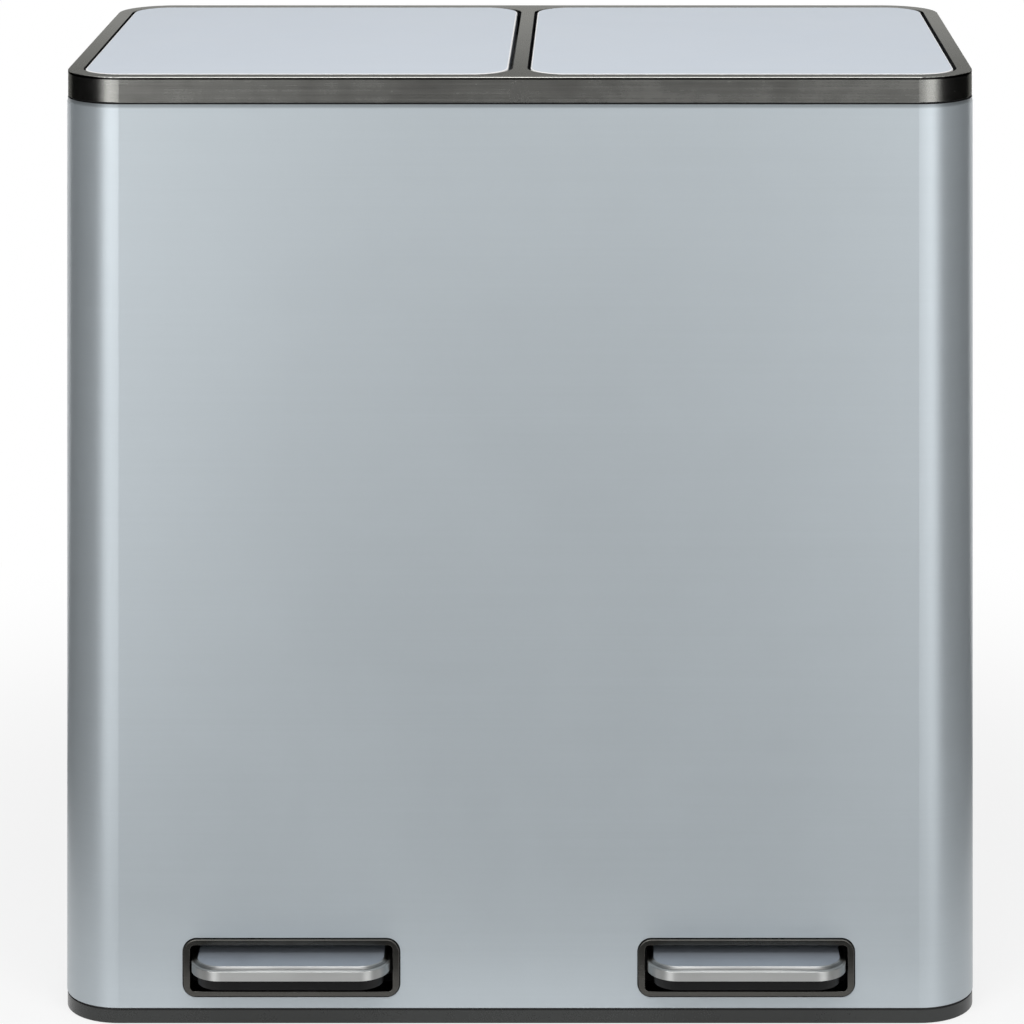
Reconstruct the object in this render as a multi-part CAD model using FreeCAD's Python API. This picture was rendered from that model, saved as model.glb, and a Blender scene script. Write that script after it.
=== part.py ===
import FreeCAD, Part
import math
import os

from FreeCAD import Vector

# A free-standing two-compartment pedal bin, in millimetres.
# +Z is up and the front faces -Y. "Left" and "right" are as seen from the front.
# The places below are measured from the middle of the body. At the end every piece moves
# back a little, so that the origin is on the floor under the middle of the whole bin,
# with its pedals and the screw heads behind it.

SIDES = (("left", -1.0), ("right", 1.0))

# ---------------------------------------------------------------- driving dimensions

# The body and what stands on the floor.
body_width = 590.0
body_depth = 330.0
total_height = 608.0
body_corner_radius = 38.0
shell_wall = 0.7
seam_width = 0.6
seam_depth = 0.35
hem_height = 2.6         # of the strip under the rim, where the body is set in a little
hem_depth = 0.3
snug_fit = 0.15          # clearance between fixed pieces that nest in each other
lap = 0.5                # how far parts of one piece run into each other before they are joined
beyond = 1.0             # how far a cutter runs past the face that it cuts

foot_height = 3.0
foot_radius = 15.0
foot_inset = 42.0        # from the body's sides to the centre of a corner foot
foot_rounding = 0.8
band_bottom = 0.4
band_top = 9.0
band_inset = 0.3
band_wall = 4.0
shadow_gap = 1.3         # dark line between the base and the body
floor_thickness = 2.5
upstand_wall = 2.2
upstand_top = 34.0
floor_rib_height = 7.0
floor_rib_thickness = 2.4
floor_rib_x = 55.0
well_post_x = 50.0       # from a pedal's middle to the posts under its well
well_post_width = 12.0
well_post_setback = 12.0
well_notch_depth = 8.0   # of the gap that the upstand leaves for each well

# The dark metal rim on top.
rim_height = 17.0
rim_inset = 0.5
rim_strip = 10.0         # width of the strip round the lids
rim_sheet = 1.6
rim_gap = 0.7            # dark line between the rim and the body
rim_edge = 0.7           # rounding of the rim's outer edges
rim_groove_depth = 0.9
rim_groove_height = 0.6
rim_groove_drop = 0.8    # from the top down to the groove
divider_width = 9.3

# The lids.
lid_gap = 2.2            # black line between a lid and the rim
lid_front_gap = 2.0
lid_rear_gap = 1.4
lid_corner_radius = 25.0
lid_sheet = 0.8
lid_edge_rounding = 1.2
lid_thickness = 11.5
lid_skirt = 11.0         # height of the skin's turned-down edge
liner_wall = 2.0
liner_rib = 1.6
liner_rib_spacing = 64.0
hinge_setback = 26.0     # from a lid's rear edge to its axis, so that its round corners swing clear
hinge_drop = 6.0         # from a lid's top to its axis
lid_open_angle = 80.0
left_lid_play = 0.8      # the left lid sits a little to its outer side

# The hinge ears and pins.
ear_spread = 95.0        # from a lid's middle to each ear
ear_width = 8.0
ear_radius = 4.5
ear_side_gap = 1.0
ear_tab_width = 18.0
hinge_pin_radius = 2.0
hinge_pin_cheek = 7.0    # how far a pin reaches into the liner on each side
ear_pocket_front = 1.5   # room in the liner in front of an ear
running_clearance = 0.05

# The black moulding that carries the lids and the buckets.
frame_plate_drop = 22.0  # from the top of the bin to the plate's upper face
frame_plate = 4.0
frame_skirt_depth = 26.0
frame_skirt_wall = 2.5
frame_wall = 2.0
frame_beam_depth = 26.0  # the rib under the ledge behind each bucket
seat_end = 9.0           # from the hinge axis forward to the ends of a lid's seat
seat_width = 8.0
seat_gap = 3.0           # between a closed lid's underside and its seat

# The rubber strips that a lid closes on.
bumper_length = 18.0
bumper_width = 4.0
bumper_rest_gap = 0.3
bumper_front_spread = 85.0
bumper_side_y = -40.0
bumper_edge_inset = 0.4
bumper_rounding = 0.7

# The buckets.
bucket_seat_gap = 1.0    # between a bucket's flange and the lid seat round it
bucket_ear_gap = 2.0     # between a bucket's flange and the hinge ears behind it
bucket_flange_radius = 26.0
bucket_flange_thickness = 3.0
bucket_flange_overhang = 7.0
bucket_hole_clearance = 2.0
ledge_behind_bucket = 3.0
bucket_wall = 2.0
bucket_taper = 8.0       # how much a side comes in from top to bottom
bucket_bottom_z = 60.0
bucket_rounding = 1.2

# The buckets' wire handles.
handle_wire_radius = 2.0
handle_lug_width = 9.0
handle_lug_thickness = 3.0
handle_lug_height = 6.0
handle_lug_gap = 0.6     # from the wire's straight side to the lug
handle_lug_clearance = 0.15
handle_inset = 4.5       # from the flange's edge to the wire's middle
handle_corner_radius = 18.0
handle_end_radius = 3.0
handle_end_length = 9.0
handle_lift = 0.8        # clearance of the folded wire over the flange

# The pedals and their recesses.
pedal_inset = 149.0      # from the body's side to the middle of a pedal
pedal_frame_width = 138.6
pedal_frame_height = 36.8
pedal_frame_bottom = 17.8
pedal_frame_radius = 8.3
pedal_frame_proud = 1.5
pedal_frame_edge = 0.6
pedal_frame_gap = 0.7    # dark line between a surround and the body
pedal_opening_width = 129.9
pedal_opening_height = 29.3
pedal_opening_bottom = 21.5
pedal_opening_radius = 3.0
collar_wall = 2.8
collar_depth = 15.0
well_wall = 2.0
well_flange = 1.5        # thickness of the flange behind the body's cut-out
well_flange_lap = 3.0    # how far that flange reaches past the cut-out
well_depth = 30.0
well_slot_width = 70.0
well_slot_bottom = 24.0
well_slot_top = 44.0

pedal_width = 127.0
pedal_reach = 25.0       # how far the pedal stands out in front of the body
pedal_length = 50.0
pedal_corner_radius = 20.0
pedal_rear_radius = 4.0
pedal_top = 45.4
bezel_band = 6.0         # height of the upright band
bezel_rise = 2.2         # from the band up to the crest beside the tread
bezel_width = 3.7        # from the band's face to the tread
bezel_crest = 0.3        # width of the crest
bezel_wall = 2.0
bezel_step_inset = 1.9   # from the band's face to the fine step in the slope
bezel_step_rise = 0.65   # from the band up to the step
bezel_step_height = 0.3
bezel_rounding = 0.5
plate_thickness = 2.6
plate_drop = 0.35        # from the crest down to the tread
plate_rounding = 0.3
core_inset = 4.0
core_bottom_front = 30.0
core_bottom_rear = 33.0
core_step_gap = 2.0      # how far in front of the recess the core's deep part ends

# The lever under each bucket.
lever_pivot_y = -60.0
lever_pivot_z = 30.0
lever_top = 39.0         # height of the lever's upper face
lever_sheet = 2.0
lever_width = 30.0
lever_tongue_width = 60.0
lever_tongue_length = 40.0
lever_flange_bottom = 25.0
lever_nose_radius = 3.0
lever_tip_margin = 6.0
lever_neck_setback = 10.0    # from the well's rear to where the lever gets narrow
lever_front_slope = 12.0
lever_rear_slope = 22.0
lever_lip = 2.0          # height of the lever's flanges at their ends
lever_seat_depth = 0.6   # how far the lever's top lies under its nose
pedal_press_angle = 5.4
axle_radius = 4.0
axle_overhang = 18.0
axle_chamfer = 0.6
bearing_gap = 4.0
bearing_width = 12.0
bearing_depth = 20.0
bearing_cap = 4.0        # material over the axle's hole

# The push rod, its guides and the lid's crank.
rod_radius = 3.0
rod_foot_radius = 7.0
rod_foot_height = 5.0
rod_foot_rounding = 1.0
rod_rest_gap = 0.3
eye_thickness = 5.0
eye_wall = 3.0
eye_slack_along = 0.5
eye_slack_across = 0.6
lower_guide_z = 140.0
upper_guide_z = 470.0
guide_width = 16.0
guide_height = 8.0
guide_reach = 5.0        # material in front of the rod
guide_clearance = 0.1
crank_pin_radius = 2.5
crank_cheek = 3.0
crank_side_gap = 1.0
crank_boss_radius = 5.0
crank_flange_width = 10.0
crank_flange_thickness = 2.0
crank_flange_front = 16.0
crank_flange_rear = 3.0  # of the flange behind the boss
crank_bridge = 6.0       # width of the strip that joins the crank's two cheeks
crank_room_front = 4.0   # room in the liner round the rod's eye
crank_room_side = 0.5
crank_room_rear = 3.0

# Screws through the shell's rear face.
screw_radius = 1.75
screw_length = 10.0
screw_head_radius = 4.2
screw_head_height = 2.2
screw_head_rounding = 0.9
screw_slot_length = 4.4
screw_slot_width = 0.9
screw_slot_depth = 1.0
screw_side_inset = 60.0  # from the body's sides to the outer screws
screw_inner_x = 80.0
upper_screw_drop = 14.0  # from the frame's plate down to the upper row
lower_screw_z = 24.0

# ---------------------------------------------------------------- derived places

front_y = -body_depth / 2.0
rear_y = body_depth / 2.0
shell_bottom = band_top + shadow_gap
shell_top = total_height - rim_height - rim_gap
rim_bottom = total_height - rim_height
floor_top = foot_height + floor_thickness

rim_width = body_width - 2.0 * rim_inset
rim_depth = body_depth - 2.0 * rim_inset
rim_radius = body_corner_radius - rim_inset
opening_width = (rim_width - 2.0 * rim_strip - divider_width) / 2.0
opening_depth = rim_depth - 2.0 * rim_strip
opening_radius = lid_corner_radius + lid_gap
opening_x = (divider_width + opening_width) / 2.0

lid_width = opening_width - 2.0 * lid_gap
lid_middle = {"left": -opening_x - left_lid_play, "right": opening_x}
lid_front_y = -opening_depth / 2.0 + lid_front_gap
lid_rear_y = opening_depth / 2.0 - lid_rear_gap
lid_bottom = total_height - lid_thickness
hinge_y = lid_rear_y - hinge_setback
hinge_z = total_height - hinge_drop
seat_top = lid_bottom - seat_gap

plate_top = total_height - frame_plate_drop
plate_bottom = plate_top - frame_plate
frame_top = total_height - rim_sheet

# Each hinge ear leans forward at 45 degrees from the axis down to the frame's plate.
ear_lean = ear_radius * math.sqrt(0.5)
ear_foot_front = hinge_y - ear_lean - (hinge_z + ear_lean - plate_top)
ear_foot_rear = hinge_y + ear_lean - (hinge_z - ear_lean - plate_top)

bucket_front_y = -opening_depth / 2.0 + seat_width + bucket_seat_gap
bucket_rear_y = ear_foot_front - bucket_ear_gap
bucket_flange_width = opening_width - 2.0 * (seat_width + bucket_seat_gap)
bucket_flange_depth = bucket_rear_y - bucket_front_y
bucket_y = (bucket_front_y + bucket_rear_y) / 2.0
bucket_top_width = bucket_flange_width - 2.0 * bucket_flange_overhang
bucket_top_depth = bucket_flange_depth - 2.0 * bucket_flange_overhang
bucket_top = plate_top + bucket_flange_thickness

pedal_x = body_width / 2.0 - pedal_inset
pedal_front_y = front_y - pedal_reach
pedal_rear_y = pedal_front_y + pedal_length
bezel_edge = pedal_top - bezel_rise
bezel_bottom = bezel_edge - bezel_band
tread_top = pedal_top - plate_drop
tread_bottom = tread_top - plate_thickness
lever_web_bottom = lever_top - lever_sheet
well_front_y = front_y + shell_wall
well_rear_y = well_front_y + well_depth
collar_width = pedal_opening_width + 2.0 * collar_wall
collar_height = pedal_opening_height + 2.0 * collar_wall
collar_radius = pedal_opening_radius + collar_wall
collar_rear_y = front_y + collar_depth
opening_mid_z = pedal_opening_bottom + pedal_opening_height / 2.0
frame_mid_z = pedal_frame_bottom + pedal_frame_height / 2.0
cutout_width = pedal_frame_width + 2.0 * pedal_frame_gap
cutout_height = pedal_frame_height + 2.0 * pedal_frame_gap
cutout_radius = pedal_frame_radius + pedal_frame_gap
flange_width = cutout_width + 2.0 * well_flange_lap
flange_height = cutout_height + 2.0 * well_flange_lap

# From the middle of the whole bin to the middle of the body.
origin_shift = -(pedal_front_y + rear_y + screw_head_height) / 2.0

# The rod stands over the lever's nose, and the crank turns the rod's travel into the lid's swing.
half_swing = math.radians(lid_open_angle / 2.0)
press = math.radians(pedal_press_angle)
nose_rise_z = lever_top - lever_nose_radius - lever_pivot_z


def rod_place():
    """Find the crank's radius and the rod's place, which depend on each other."""
    radius = 14.0
    for _ in range(20):
        y = hinge_y - radius * (1.0 + math.cos(half_swing)) / 2.0
        reach = y - lever_pivot_y
        travel = reach * math.sin(press) + nose_rise_z * (math.cos(press) - 1.0)
        radius = travel / (2.0 * math.sin(half_swing))
    return radius, y, travel


crank_radius, rod_y, rod_travel = rod_place()
crank_pin_y = hinge_y - crank_radius * math.cos(half_swing)
crank_pin_z = hinge_z - crank_radius * math.sin(half_swing)
crank_inner = eye_thickness / 2.0 + crank_side_gap
crank_outer = crank_inner + crank_cheek
eye_length = crank_radius * (1.0 - math.cos(half_swing)) + 2.0 * (crank_pin_radius + eye_slack_along)
eye_height = 2.0 * (crank_pin_radius + eye_slack_across)
rod_bottom = lever_top + rod_rest_gap

# ---------------------------------------------------------------- shapes used throughout


def block(x_low, x_high, y_low, y_high, z_low, z_high):
    """A box between two corners."""
    corner = Vector(x_low, y_low, z_low)
    return Part.makeBox(x_high - x_low, y_high - y_low, z_high - z_low, corner)


def quarter_arc(centre_x, centre_y, radius, quarter, z):
    """A quarter turn, anticlockwise from above, that begins after so many quarter turns."""
    points = []
    for step in (0.0, 0.5, 1.0):
        angle = (quarter + step) * math.pi / 2.0
        points.append(Vector(centre_x + radius * math.cos(angle), centre_y + radius * math.sin(angle), z))
    return Part.Arc(*points).toShape()


def line_between(before, after):
    """The straight line from the end of one edge to the start of another."""
    return Part.makeLine(before.Vertexes[-1].Point, after.Vertexes[0].Point)


def rounded_outline(width, depth, radius, x, y, z, front_radius=None):
    """A closed rectangle with round corners, lying flat; its front corners may differ."""
    front = front_radius or radius
    corners = ((1, 1, radius), (-1, 1, radius), (-1, -1, front), (1, -1, front))
    arcs = []
    for quarter, (side_x, side_y, corner) in enumerate(corners):
        centre_x = x + side_x * (width / 2.0 - corner)
        centre_y = y + side_y * (depth / 2.0 - corner)
        arcs.append(quarter_arc(centre_x, centre_y, corner, quarter, z))
    edges = []
    for before, after in zip(arcs, arcs[1:] + arcs[:1]):
        edges += [before, line_between(before, after)]
    return Part.Wire(edges)


def rounded_slab(width, depth, radius, z_low, z_high, x=0.0, y=0.0):
    """A flat-lying slab with round corners in plan."""
    face = Part.Face(rounded_outline(width, depth, radius, x, y, z_low))
    return face.extrude(Vector(0, 0, z_high - z_low))


def wall_ring(width, depth, radius, wall, z_low, z_high, x=0.0, y=0.0):
    """A wall that follows a rounded rectangle, measured on its outside."""
    outside = rounded_slab(width, depth, radius, z_low, z_high, x, y)
    inside = rounded_slab(width - 2 * wall, depth - 2 * wall, radius - wall, z_low, z_high, x, y)
    return outside.cut(inside)


def upright_slab(width, height, radius, y_low, y_high, x, z):
    """A slab that stands upright, with round corners as seen from the front."""
    slab = rounded_slab(width, height, radius, 0.0, y_high - y_low)
    slab.rotate(Vector(0, 0, 0), Vector(1, 0, 0), 90.0)
    slab.translate(Vector(x, y_high, z))
    return slab


def rod_along_x(radius, x_low, x_high, y, z):
    """A round bar that lies across the bin."""
    return Part.makeCylinder(radius, x_high - x_low, Vector(x_low, y, z), Vector(1, 0, 0))


def rod_along_y(radius, y_low, y_high, x, z):
    """A round bar that lies from front to rear."""
    return Part.makeCylinder(radius, y_high - y_low, Vector(x, y_low, z), Vector(0, 1, 0))


def upright_rod(radius, z_low, z_high, x, y):
    """A round bar that stands upright."""
    return Part.makeCylinder(radius, z_high - z_low, Vector(x, y, z_low))


def oblong(length, height, x_low, x_high, y, z):
    """A plate with fully round ends, long from front to rear, its thickness along X."""
    reach = (length - height) / 2.0
    pieces = [block(x_low, x_high, y - reach, y + reach, z - height / 2.0, z + height / 2.0)]
    for side in (-1.0, 1.0):
        pieces.append(rod_along_x(height / 2.0, x_low, x_high, y + side * reach, z))
    return joined(pieces)


def side_profile(points, x_low, x_high):
    """A plate cut to a side view, given as (y, z) points, with its thickness along X."""
    corners = [Vector(x_low, y, z) for y, z in points]
    corners.append(corners[0])
    face = Part.Face(Part.makePolygon(corners))
    return face.extrude(Vector(x_high - x_low, 0, 0))


def joined(shapes):
    """Several solids fused into one, with the seams between flush faces removed."""
    first = shapes[0]
    return first.fuse(list(shapes[1:])).removeSplitter()


def edges_at_height(shape, z):
    """The edges of a shape that lie wholly at one height."""
    found = []
    for edge in shape.Edges:
        box = edge.BoundBox
        if abs(box.ZMin - z) < 1e-4 and abs(box.ZMax - z) < 1e-4:
            found.append(edge)
    return found


# ---------------------------------------------------------------- body and base


def shell_screw_places():
    """Where the screws go through the rear face, as (x, z)."""
    places = []
    outer_x = body_width / 2.0 - screw_side_inset
    for x in (-outer_x, -screw_inner_x, screw_inner_x, outer_x):
        places.append((x, plate_bottom - upper_screw_drop))
        places.append((x, lower_screw_z))
    return places


def screw_holes(clearance):
    """Round cutters along every screw, from outside the shell inwards."""
    holes = []
    for x, z in shell_screw_places():
        holes.append(rod_along_y(screw_radius + clearance, rear_y - screw_length - beyond,
                                 rear_y + beyond, x, z))
    return holes


def outer_shell():
    """The steel wrap, open above and below, with its pedal cut-outs, set-in top and rear seam."""
    shell = wall_ring(body_width, body_depth, body_corner_radius, shell_wall, shell_bottom, shell_top)
    cutters = screw_holes(snug_fit)
    for _, sign in SIDES:
        cutters.append(upright_slab(cutout_width, cutout_height, cutout_radius, front_y - beyond,
                                    well_front_y + beyond, sign * pedal_x, frame_mid_z))
    cutters.append(wall_ring(body_width + 2 * beyond, body_depth + 2 * beyond, body_corner_radius + beyond,
                             beyond + hem_depth, shell_top - hem_height, shell_top + beyond))
    cutters.append(block(-seam_width / 2, seam_width / 2, rear_y - seam_depth, rear_y + beyond,
                         shell_bottom - beyond, shell_top + beyond))
    return shell.cut(cutters)


def base_tray():
    """The plastic base: its band shows under the body, its upstand plugs into the body."""
    pieces = [wall_ring(body_width - 2 * band_inset, body_depth - 2 * band_inset,
                        body_corner_radius - band_inset, band_wall, band_bottom, band_top)]
    floor_inset = band_inset + band_wall / 2.0
    pieces.append(rounded_slab(body_width - 2 * floor_inset, body_depth - 2 * floor_inset,
                               body_corner_radius - floor_inset, foot_height, floor_top))
    plug_inset = shell_wall + snug_fit
    pieces.append(wall_ring(body_width - 2 * plug_inset, body_depth - 2 * plug_inset,
                            body_corner_radius - plug_inset, upstand_wall, band_top - lap, upstand_top))
    rib_end = body_depth / 2.0 - plug_inset - upstand_wall / 2.0
    for x in (-floor_rib_x, floor_rib_x):
        pieces.append(block(x - floor_rib_thickness / 2, x + floor_rib_thickness / 2,
                            -rib_end, rib_end, floor_top - lap, floor_top + floor_rib_height))
    notch_half = flange_width / 2.0 + beyond
    notch_bottom = frame_mid_z - flange_height / 2.0 - beyond
    well_bottom = opening_mid_z - collar_height / 2.0 - well_wall
    post_y = well_front_y + well_post_setback
    cutters = screw_holes(snug_fit)
    for _, sign in SIDES:
        x = sign * pedal_x
        for post_x in (x - well_post_x, x + well_post_x):
            pieces.append(block(post_x - well_post_width / 2, post_x + well_post_width / 2,
                                post_y, post_y + well_post_width, floor_top - lap, well_bottom))
        cutters.append(block(x - notch_half, x + notch_half, front_y - beyond,
                             front_y + well_notch_depth, notch_bottom, upstand_top + beyond))
    return joined(pieces).cut(cutters)


def base_feet():
    """Six rubber pads under the base."""
    pads = []
    across = body_width / 2.0 - foot_inset
    along = body_depth / 2.0 - foot_inset
    for x in (-across, 0.0, across):
        for y in (-along, along):
            pad = upright_rod(foot_radius, 0.0, foot_height, x, y)
            pads.append(pad.makeFillet(foot_rounding, edges_at_height(pad, 0.0)))
    return Part.makeCompound(pads)


def shell_screws():
    """Pan-head screws through the shell's rear face into the frame and the base."""
    screws = []
    long_half = screw_slot_length / 2.0
    short_half = screw_slot_width / 2.0
    head_face = rear_y + screw_head_height
    for x, z in shell_screw_places():
        head = rod_along_y(screw_head_radius, rear_y, head_face, x, z)
        outer_edges = [edge for edge in head.Edges if edge.BoundBox.YMin > head_face - 1e-3]
        head = head.makeFillet(screw_head_rounding, outer_edges)
        for half_x, half_z in ((long_half, short_half), (short_half, long_half)):
            head = head.cut(block(x - half_x, x + half_x, head_face - screw_slot_depth, head_face + beyond,
                                  z - half_z, z + half_z))
        shank = rod_along_y(screw_radius, rear_y - screw_length, rear_y + lap, x, z)
        screws.append(joined([head, shank]))
    return Part.makeCompound(screws)


# ---------------------------------------------------------------- rim and lid frame


def lid_opening(side_sign, z_low, z_high):
    """The plan of one lid's opening, as a cutter."""
    return rounded_slab(opening_width, opening_depth, opening_radius, z_low, z_high,
                        side_sign * opening_x, 0.0)


def top_rim():
    """The dark metal trim: a band round the top, a flat strip and the divider."""
    rim = rounded_slab(rim_width, rim_depth, rim_radius, rim_bottom, total_height)
    rim = rim.makeFillet(rim_edge, edges_at_height(rim, rim_bottom) + edges_at_height(rim, total_height))
    rim = rim.cut(rounded_slab(rim_width - 2 * rim_sheet, rim_depth - 2 * rim_sheet, rim_radius - rim_sheet,
                               rim_bottom - beyond, total_height - rim_sheet))
    groove_top = total_height - rim_groove_drop
    cutters = [wall_ring(rim_width + 2 * beyond, rim_depth + 2 * beyond, rim_radius + beyond,
                         beyond + rim_groove_depth, groove_top - rim_groove_height, groove_top)]
    for _, sign in SIDES:
        cutters.append(lid_opening(sign, rim_bottom, total_height + beyond))
    return rim.cut(cutters)


def hinge_ears(x_middle):
    """Two ears that rise from tabs on the frame's plate, leaning back to the hinge axis."""
    ears = []
    foot_z = plate_top - lap
    top_edge = (hinge_y - ear_lean, hinge_z + ear_lean)
    low_edge = (hinge_y + ear_lean, hinge_z - ear_lean)
    outline = [top_edge, low_edge, (ear_foot_rear, plate_top), (ear_foot_rear, foot_z),
               (ear_foot_front, foot_z), (ear_foot_front, plate_top)]
    for offset in (-ear_spread, ear_spread):
        x = x_middle + offset
        x_low = x - ear_width / 2.0
        x_high = x + ear_width / 2.0
        stem = side_profile(outline, x_low, x_high)
        knuckle = rod_along_x(ear_radius, x_low, x_high, hinge_y, hinge_z)
        tab = block(x - ear_tab_width / 2, x + ear_tab_width / 2, bucket_rear_y, ear_foot_rear,
                    plate_bottom, plate_top)
        bore = rod_along_x(hinge_pin_radius + running_clearance, x_low - beyond, x_high + beyond,
                           hinge_y, hinge_z)
        ears.append(stem.fuse([knuckle, tab]).cut(bore))
    return ears


def lid_frame():
    """The black moulding that carries the hinges, the lids' seats and the buckets."""
    inset = shell_wall + snug_fit
    width = body_width - 2 * inset
    depth = body_depth - 2 * inset
    radius = body_corner_radius - inset
    pieces = [rounded_slab(width, depth, radius, plate_bottom, plate_top)]
    pieces.append(wall_ring(width, depth, radius, frame_skirt_wall, plate_bottom - frame_skirt_depth,
                            plate_bottom + lap))
    upper_inset = rim_inset + rim_sheet + snug_fit
    pieces.append(wall_ring(body_width - 2 * upper_inset, body_depth - 2 * upper_inset,
                            body_corner_radius - upper_inset, frame_wall, plate_top - lap, frame_top))
    seat_rear_y = hinge_y - seat_end
    for _, sign in SIDES:
        x = sign * opening_x
        pieces.append(wall_ring(opening_width + 2 * frame_wall, opening_depth + 2 * frame_wall,
                                opening_radius + frame_wall, frame_wall, plate_top - lap, frame_top, x, 0.0))
        seat = wall_ring(opening_width + frame_wall, opening_depth + frame_wall,
                         opening_radius + frame_wall / 2.0, seat_width + frame_wall / 2.0,
                         plate_top - lap, seat_top, x, 0.0)
        behind = block(x - opening_width, x + opening_width, seat_rear_y, rear_y, plate_bottom, frame_top)
        pieces.append(seat.cut(behind))
        half = opening_width / 2.0
        pieces.append(block(x - half, x + half, bucket_rear_y - frame_skirt_wall, bucket_rear_y,
                            plate_bottom - frame_beam_depth, plate_bottom + lap))
    frame = joined(pieces)
    cutters = screw_holes(snug_fit)
    for _, sign in SIDES:
        cutters.append(rounded_slab(bucket_top_width + 2 * bucket_hole_clearance,
                                    bucket_top_depth + 2 * bucket_hole_clearance,
                                    bucket_flange_radius - bucket_flange_overhang + bucket_hole_clearance,
                                    plate_bottom - beyond, plate_top + beyond, sign * opening_x, bucket_y))
        well = lid_opening(sign, plate_bottom - beyond, plate_top + beyond)
        in_front = block(-body_width, body_width, -body_depth, bucket_rear_y + ledge_behind_bucket,
                         plate_bottom - 2 * beyond, plate_top + 2 * beyond)
        cutters.append(well.cut(in_front))
    frame = frame.cut(cutters)
    ears = []
    for name, _ in SIDES:
        ears += hinge_ears(lid_middle[name])
    return joined([frame] + ears)


# ---------------------------------------------------------------- lids


def lid_slab(x, inset, z_low, z_high):
    """A lid's plan, made smaller by an inset, between two heights."""
    depth = lid_rear_y - lid_front_y
    return rounded_slab(lid_width - 2 * inset, depth - 2 * inset, lid_corner_radius - inset,
                        z_low, z_high, x, (lid_front_y + lid_rear_y) / 2.0)


def lid_skin(x):
    """The pressed steel skin with its turned-down edge."""
    low = total_height - lid_skirt
    outside = lid_slab(x, 0.0, low, total_height)
    outside = outside.makeFillet(lid_edge_rounding, edges_at_height(outside, total_height))
    return outside.cut(lid_slab(x, lid_sheet, low - beyond, total_height - lid_sheet))


def ear_pocket(x):
    """The room that an ear needs under a lid over its whole swing."""
    half = ear_width / 2.0 + ear_side_gap
    front = hinge_y - ear_lean - (hinge_z + ear_lean - lid_bottom) - ear_pocket_front
    rear = hinge_y + 2.0 * ear_radius + (hinge_z - lid_bottom)
    return block(x - half, x + half, front, rear, lid_bottom - beyond, total_height)


def crank_pocket(rod_x):
    """The room that the rod's eye needs under a lid over its whole swing."""
    front = rod_y - eye_length / 2.0 - eye_wall - crank_room_front
    half = crank_outer + crank_room_side
    return block(rod_x - half, rod_x + half, front, hinge_y + crank_room_rear,
                 lid_bottom - beyond, total_height)


def lid_liner(x, rod_x):
    """The plastic inside of a lid: a ribbed pan with solid blocks round its pins and crank."""
    inset = lid_sheet + snug_fit
    ceiling = total_height - inset
    liner = lid_slab(x, inset, lid_bottom, ceiling)
    cavity = lid_slab(x, inset + liner_wall, lid_bottom + liner_wall, ceiling + beyond)
    above = ceiling + 2 * beyond
    far = lid_width
    solid = []
    for place in (-liner_rib_spacing, 0.0, liner_rib_spacing):
        low = place - liner_rib / 2.0
        high = place + liner_rib / 2.0
        solid.append(block(x + low, x + high, -far, far, lid_bottom, above))
        solid.append(block(x - far, x + far, low, high, lid_bottom, above))
    cutters = []
    pockets = []
    for offset in (-ear_spread, ear_spread):
        pocket = ear_pocket(x + offset)
        half = ear_width / 2.0 + ear_side_gap + hinge_pin_cheek
        cutters.append(rod_along_x(hinge_pin_radius, x + offset - half, x + offset + half, hinge_y, hinge_z))
        pockets.append((pocket, hinge_pin_cheek + liner_wall))
    pockets.append((crank_pocket(rod_x), crank_flange_width))
    for pocket, surround in pockets:
        box = pocket.BoundBox
        solid.append(block(box.XMin - surround, box.XMax + surround, box.YMin - 2 * liner_wall,
                           box.YMax + liner_wall, lid_bottom, above))
        cutters.append(pocket)
    return liner.cut(cavity.cut(solid)).cut(cutters)


def lid_bumpers(x):
    """Rubber strips under the lid's edge, over the seat."""
    top = lid_bottom
    low = seat_top + bumper_rest_gap
    inset = lid_sheet + snug_fit + bumper_edge_inset
    y = lid_front_y + inset
    strips = []
    for offset in (-bumper_front_spread, bumper_front_spread):
        strips.append(block(x + offset - bumper_length / 2, x + offset + bumper_length / 2,
                            y, y + bumper_width, low, top))
    edge = lid_width / 2.0 - inset
    for sign in (-1.0, 1.0):
        ends = sorted((x + sign * edge, x + sign * (edge - bumper_width)))
        strips.append(block(ends[0], ends[1], bumper_side_y - bumper_length / 2,
                            bumper_side_y + bumper_length / 2, low, top))
    rounded = [strip.makeFillet(bumper_rounding, edges_at_height(strip, low)) for strip in strips]
    return Part.makeCompound(rounded)


def hinge_pins(x):
    """The two pins that a lid turns on."""
    pins = []
    half = ear_width / 2.0 + ear_side_gap + hinge_pin_cheek
    for offset in (-ear_spread, ear_spread):
        pins.append(rod_along_x(hinge_pin_radius, x + offset - half, x + offset + half, hinge_y, hinge_z))
    return Part.makeCompound(pins)


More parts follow.
